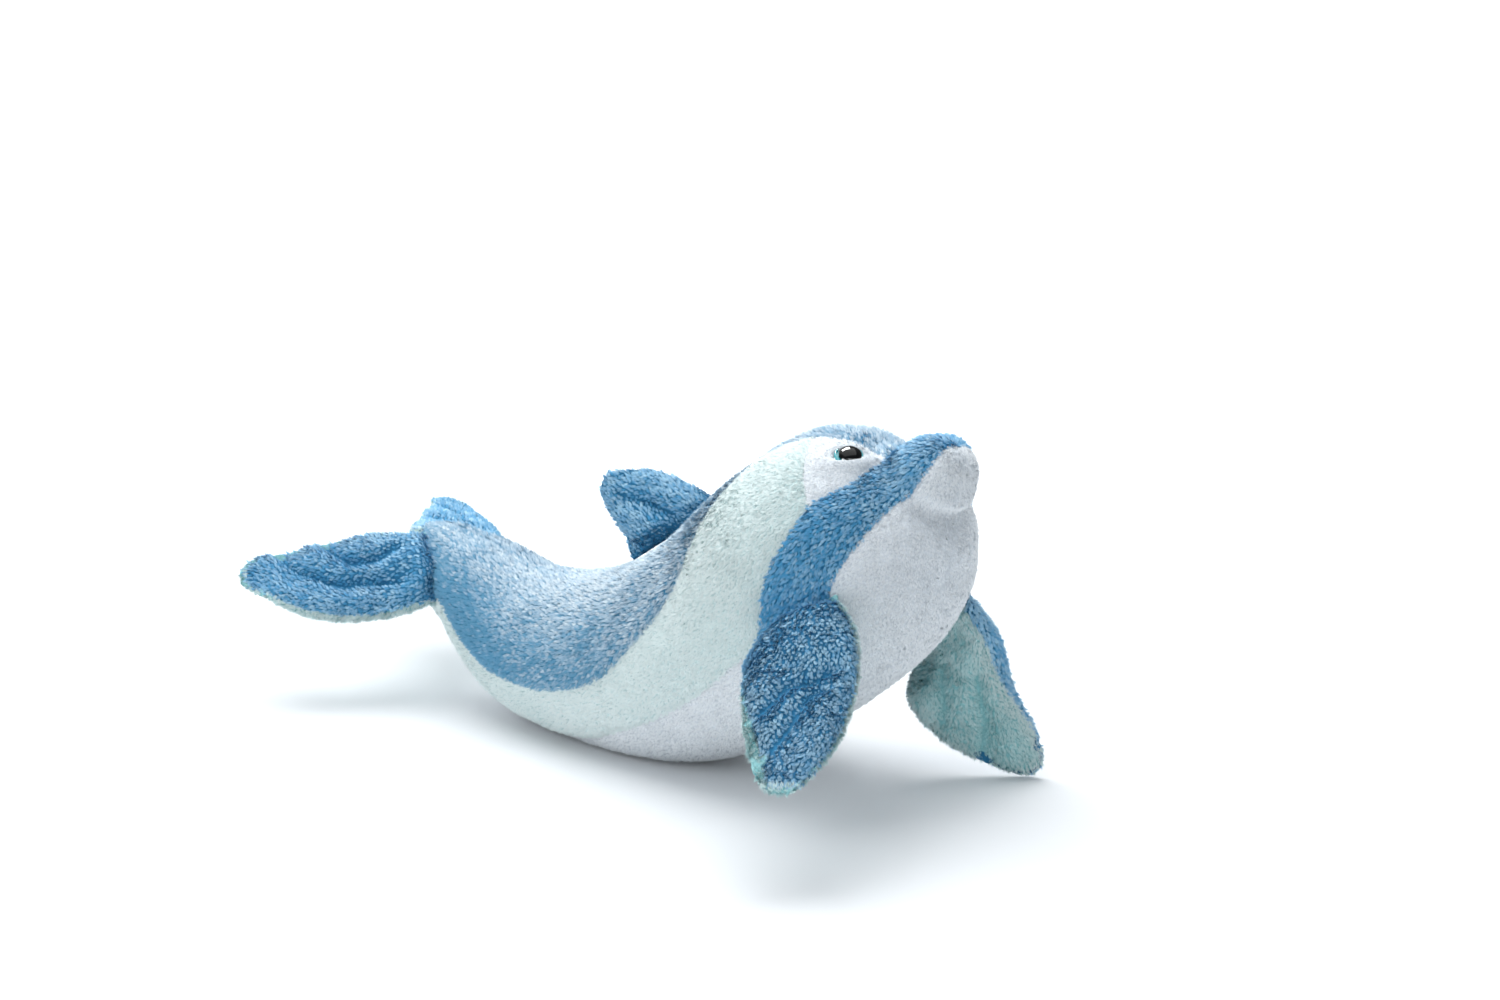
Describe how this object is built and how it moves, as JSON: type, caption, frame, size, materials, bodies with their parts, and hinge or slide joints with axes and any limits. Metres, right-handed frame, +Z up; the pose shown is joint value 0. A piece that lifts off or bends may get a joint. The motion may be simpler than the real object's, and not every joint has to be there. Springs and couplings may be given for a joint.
{
  "type": "plush dolphin",
  "caption": "Stuffed toy dolphin lying on its belly with its head raised, sewn from blue, mint and white plush panels, with limbs and a back fin that swing on their hems",
  "frame": {"origin": "the middle of the flat that the belly rests on", "axes": "+X towards the beak, +Y towards the toy's left, +Z up"},
  "size_m": [0.3569, 0.1884, 0.16],
  "materials": {
    "plush_pale_blue": "short plush pile",
    "plush_mist": "short plush pile",
    "plush_white": "short plush pile",
    "plush_mint": "short plush pile",
    "plush_blue": "short plush pile with darker roots",
    "filling": "loose polyester wadding",
    "granulate": "small grains in a cotton bag",
    "eye_iris": "clear gloss",
    "eye_black": "clear gloss",
    "washer": "natural plastic"
  },
  "bodies": {
    "body": {"back_panel_right": "plush_pale_blue", "side_stripe_right": "plush_mist", "face_band_right": "plush_blue", "back_panel_left": "plush_pale_blue", "side_stripe_left": "plush_mist", "face_band_left": "plush_blue", "belly_panel": "plush_white", "eye_patch_right": "plush_white", "eye_cup_right": "eye_iris", "eye_pupil_right": "eye_black", "eye_washer_right": "washer", "eye_patch_left": "plush_white", "eye_cup_left": "eye_iris", "eye_pupil_left": "eye_black", "eye_washer_left": "washer", "body_filling": "filling", "granulate_bag": "granulate"},
    "flipper_right": {"flipper_right_outer": "plush_blue", "flipper_right_inner": "plush_mint", "flipper_right_filling": "filling"},
    "flipper_left": {"flipper_left_inner": "plush_mint", "flipper_left_outer": "plush_blue", "flipper_left_filling": "filling"},
    "fluke_right": {"fluke_right_underside": "plush_mint", "fluke_right_top": "plush_blue", "fluke_right_filling": "filling"},
    "fluke_left": {"fluke_left_top": "plush_blue", "fluke_left_underside": "plush_mint", "fluke_left_filling": "filling"},
    "back_fin": {"back_fin_left": "plush_blue", "back_fin_right": "plush_blue", "back_fin_filling": "filling"}
  },
  "joints": [
    {"name": "flipper_right_swing", "type": "hinge", "parent": "body", "child": "flipper_right", "pos_m": [0.13604, -0.0497, 0.0933], "axis": [-0.8387, -0.2475, -0.4851], "range_deg": [-45, 50], "stiffness_Nm_per_rad": 0.15},
    {"name": "flipper_left_swing", "type": "hinge", "parent": "body", "child": "flipper_left", "pos_m": [0.1489, 0.03728, 0.07854], "axis": [0.7742, -0.3403, 0.5337], "range_deg": [-5, 65], "stiffness_Nm_per_rad": 0.15},
    {"name": "fluke_right_swing", "type": "hinge", "parent": "body", "child": "fluke_right", "pos_m": [-0.11577, -0.012, 0.06052], "axis": [-0.7459, 0.5714, 0.3422], "range_deg": [-30, 30], "stiffness_Nm_per_rad": 0.12},
    {"name": "fluke_left_swing", "type": "hinge", "parent": "body", "child": "fluke_left", "pos_m": [-0.11577, 0.012, 0.06052], "axis": [0.7459, 0.5714, -0.3422], "range_deg": [-30, 30], "stiffness_Nm_per_rad": 0.12},
    {"name": "back_fin_lean", "type": "hinge", "parent": "body", "child": "back_fin", "pos_m": [0.02389, 0.00271, 0.09819], "axis": [0.8202, 0.0934, 0.5644], "range_deg": [-40, 40], "stiffness_Nm_per_rad": 0.08}
  ]
}
